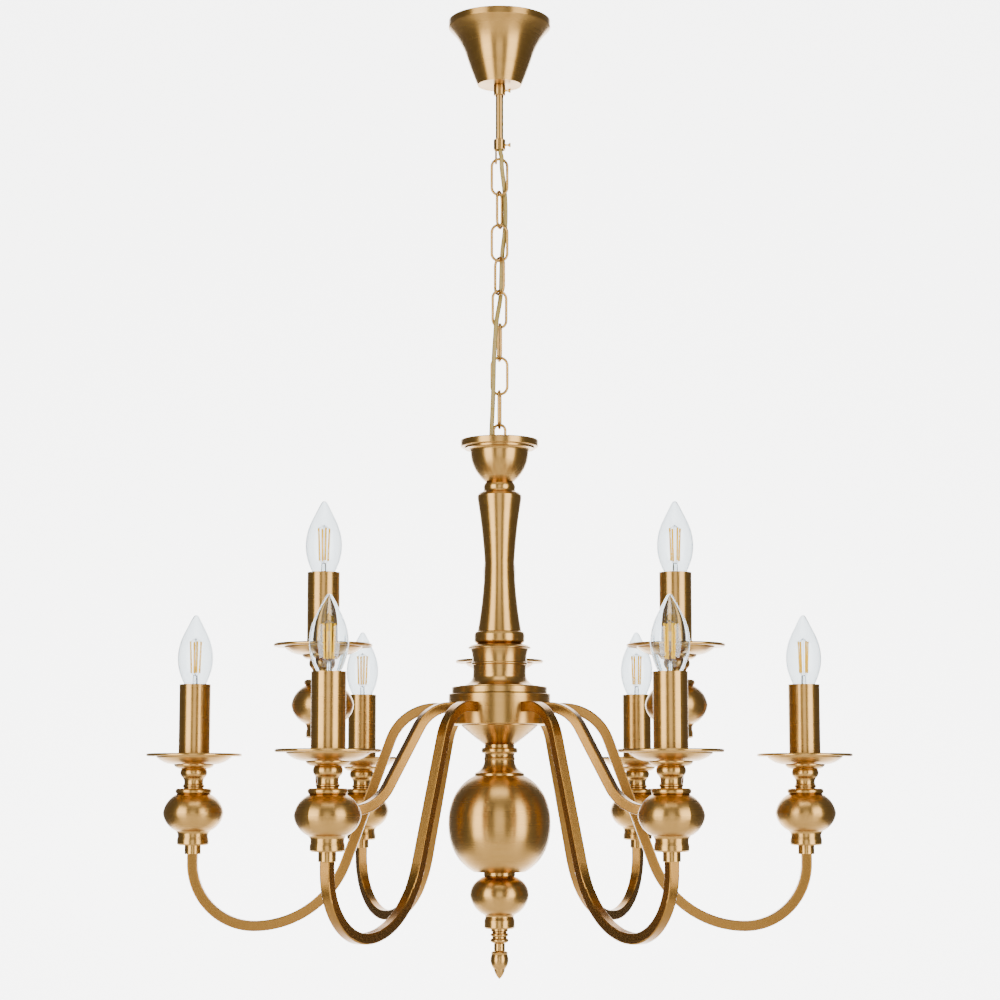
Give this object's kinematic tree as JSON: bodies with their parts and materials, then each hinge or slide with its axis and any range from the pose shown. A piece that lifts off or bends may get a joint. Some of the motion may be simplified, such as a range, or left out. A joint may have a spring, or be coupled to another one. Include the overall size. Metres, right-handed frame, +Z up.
{
  "type": "multi arm chandelier",
  "caption": "Candle chandelier in brushed brass: turned column, curved square-tube arms in two tiers with drip pans and clear candle lamps, hung by a chain from a ceiling rod and cover.",
  "frame": {"origin": "on the ceiling, on the column axis, midway between the bracket's two screws", "axes": "+Z up, along the column axis; +X along one lower arm and the bracket's length; the front is towards -Y"},
  "size_m": [0.6936, 0.6132, 0.9598],
  "materials": {
    "antique_brass": "satin, brushed round the turning axis, lacquered",
    "bright_brass": "polished",
    "zinc_steel": "zinc plated",
    "white_plastic": "moulded",
    "black_plastic": "moulded thermoset",
    "gold_flex": "olive gold sheath",
    "wire_insulation": "silicone insulation",
    "lamp_glass": "clear"
  },
  "bodies": {
    "ceiling_mount": {"ceiling_bracket": "zinc_steel", "terminal_block": "white_plastic", "rod_nuts": "zinc_steel", "drop_rod": "antique_brass", "rod_cap": "antique_brass", "flex": "gold_flex"},
    "ceiling_cover": {"canopy": "antique_brass", "canopy_collar": "antique_brass"},
    "cover_screw": {"canopy_screw": "bright_brass"},
    "tongue_screw": {"cap_screw": "bright_brass"},
    "fixture": {"column_eye": "antique_brass", "cup_plate": "antique_brass", "top_cup": "antique_brass", "column_stem": "antique_brass", "stem_ring": "antique_brass", "hub_neck": "antique_brass", "hub_lid": "antique_brass", "hub_drum": "antique_brass", "hub_base": "antique_brass", "ball_neck": "antique_brass", "ball": "antique_brass", "lower_bulb": "antique_brass", "finial": "antique_brass", "column_tube": "zinc_steel", "column_nuts": "zinc_steel", "arm_nuts": "zinc_steel", "lower_arm_1": "antique_brass", "lower_arm_2": "antique_brass", "lower_arm_3": "antique_brass", "lower_arm_4": "antique_brass", "lower_arm_5": "antique_brass", "lower_arm_6": "antique_brass", "upper_arm_1": "antique_brass", "upper_arm_2": "antique_brass", "upper_arm_3": "antique_brass", "arm_ferrules": "antique_brass", "holder_balls": "antique_brass", "holder_necks": "antique_brass", "drip_pans": "antique_brass", "candle_tubes": "antique_brass", "lamp_holders": "black_plastic", "holder_nipples": "zinc_steel", "arm_wires": "wire_insulation"},
    "link_1": {"chain_link_1": "antique_brass"},
    "link_2": {"chain_link_2": "antique_brass"},
    "link_3": {"chain_link_3": "antique_brass"},
    "link_4": {"chain_link_4": "antique_brass"},
    "link_5": {"chain_link_5": "antique_brass"},
    "link_6": {"chain_link_6": "antique_brass"},
    "link_7": {"chain_link_7": "antique_brass"},
    "link_8": {"chain_link_8": "antique_brass"},
    "bulb_1": {"lamp_1": "lamp_glass"},
    "bulb_2": {"lamp_2": "lamp_glass"},
    "bulb_3": {"lamp_3": "lamp_glass"},
    "bulb_4": {"lamp_4": "lamp_glass"},
    "bulb_5": {"lamp_5": "lamp_glass"},
    "bulb_6": {"lamp_6": "lamp_glass"},
    "bulb_7": {"lamp_7": "lamp_glass"},
    "bulb_8": {"lamp_8": "lamp_glass"},
    "bulb_9": {"lamp_9": "lamp_glass"}
  },
  "joints": [
    {"name": "cover_slide", "type": "slide", "parent": "ceiling_mount", "child": "ceiling_cover", "axis": [0, 0, 1], "range_m": [-0.045, 0]},
    {"name": "cover_screw_turn", "type": "hinge", "parent": "ceiling_cover", "child": "cover_screw", "pos_m": [0, 0, -0.0722], "axis": [1, 0, 0], "continuous": true},
    {"name": "cap_screw_turn", "type": "hinge", "parent": "ceiling_mount", "child": "tongue_screw", "pos_m": [0, 0, -0.1288], "axis": [1, 0, 0], "continuous": true},
    {"name": "link_1_swing", "type": "hinge", "parent": "ceiling_mount", "child": "link_1", "pos_m": [0, 0, -0.1435], "axis": [1, 0, 0], "range_deg": [-8, 8], "deforming": ["flex"]},
    {"name": "link_2_swing", "type": "hinge", "parent": "link_1", "child": "link_2", "pos_m": [0, 0, -0.1806], "axis": [1, 0, 0], "range_deg": [-8, 8]},
    {"name": "link_3_swing", "type": "hinge", "parent": "link_2", "child": "link_3", "pos_m": [0, 0, -0.2146], "axis": [0.309, 0.9511, 0], "range_deg": [-8, 8]},
    {"name": "link_4_swing", "type": "hinge", "parent": "link_3", "child": "link_4", "pos_m": [0, 0, -0.2486], "axis": [0.9976, 0.0698, 0], "range_deg": [-8, 8]},
    {"name": "link_5_swing", "type": "hinge", "parent": "link_4", "child": "link_5", "pos_m": [0, 0, -0.2826], "axis": [-0.5592, 0.829, 0], "range_deg": [-8, 8]},
    {"name": "link_6_swing", "type": "hinge", "parent": "link_5", "child": "link_6", "pos_m": [0, 0, -0.3166], "axis": [0.866, 0.5, 0], "range_deg": [-8, 8]},
    {"name": "link_7_swing", "type": "hinge", "parent": "link_6", "child": "link_7", "pos_m": [0, 0, -0.3506], "axis": [-0.1736, 0.9848, 0], "range_deg": [-8, 8]},
    {"name": "link_8_swing", "type": "hinge", "parent": "link_7", "child": "link_8", "pos_m": [0, 0, -0.3846], "axis": [0.9994, 0.0349, 0], "range_deg": [-8, 8]},
    {"name": "fixture_swing", "type": "hinge", "parent": "link_8", "child": "fixture", "pos_m": [0, 0, -0.4186], "axis": [0.1045, 0.9945, 0], "range_deg": [-8, 8]},
    {"name": "bulb_1_out", "type": "slide", "parent": "fixture", "child": "bulb_1", "axis": [0, 0, 1], "range_m": [0, 0.026]},
    {"name": "bulb_2_out", "type": "slide", "parent": "fixture", "child": "bulb_2", "axis": [0, 0, 1], "range_m": [0, 0.026]},
    {"name": "bulb_3_out", "type": "slide", "parent": "fixture", "child": "bulb_3", "axis": [0, 0, 1], "range_m": [0, 0.026]},
    {"name": "bulb_4_out", "type": "slide", "parent": "fixture", "child": "bulb_4", "axis": [0, 0, 1], "range_m": [0, 0.026]},
    {"name": "bulb_5_out", "type": "slide", "parent": "fixture", "child": "bulb_5", "axis": [0, 0, 1], "range_m": [0, 0.026]},
    {"name": "bulb_6_out", "type": "slide", "parent": "fixture", "child": "bulb_6", "axis": [0, 0, 1], "range_m": [0, 0.026]},
    {"name": "bulb_7_out", "type": "slide", "parent": "fixture", "child": "bulb_7", "axis": [0, 0, 1], "range_m": [0, 0.026]},
    {"name": "bulb_8_out", "type": "slide", "parent": "fixture", "child": "bulb_8", "axis": [0, 0, 1], "range_m": [0, 0.026]},
    {"name": "bulb_9_out", "type": "slide", "parent": "fixture", "child": "bulb_9", "axis": [0, 0, 1], "range_m": [0, 0.026]}
  ]
}
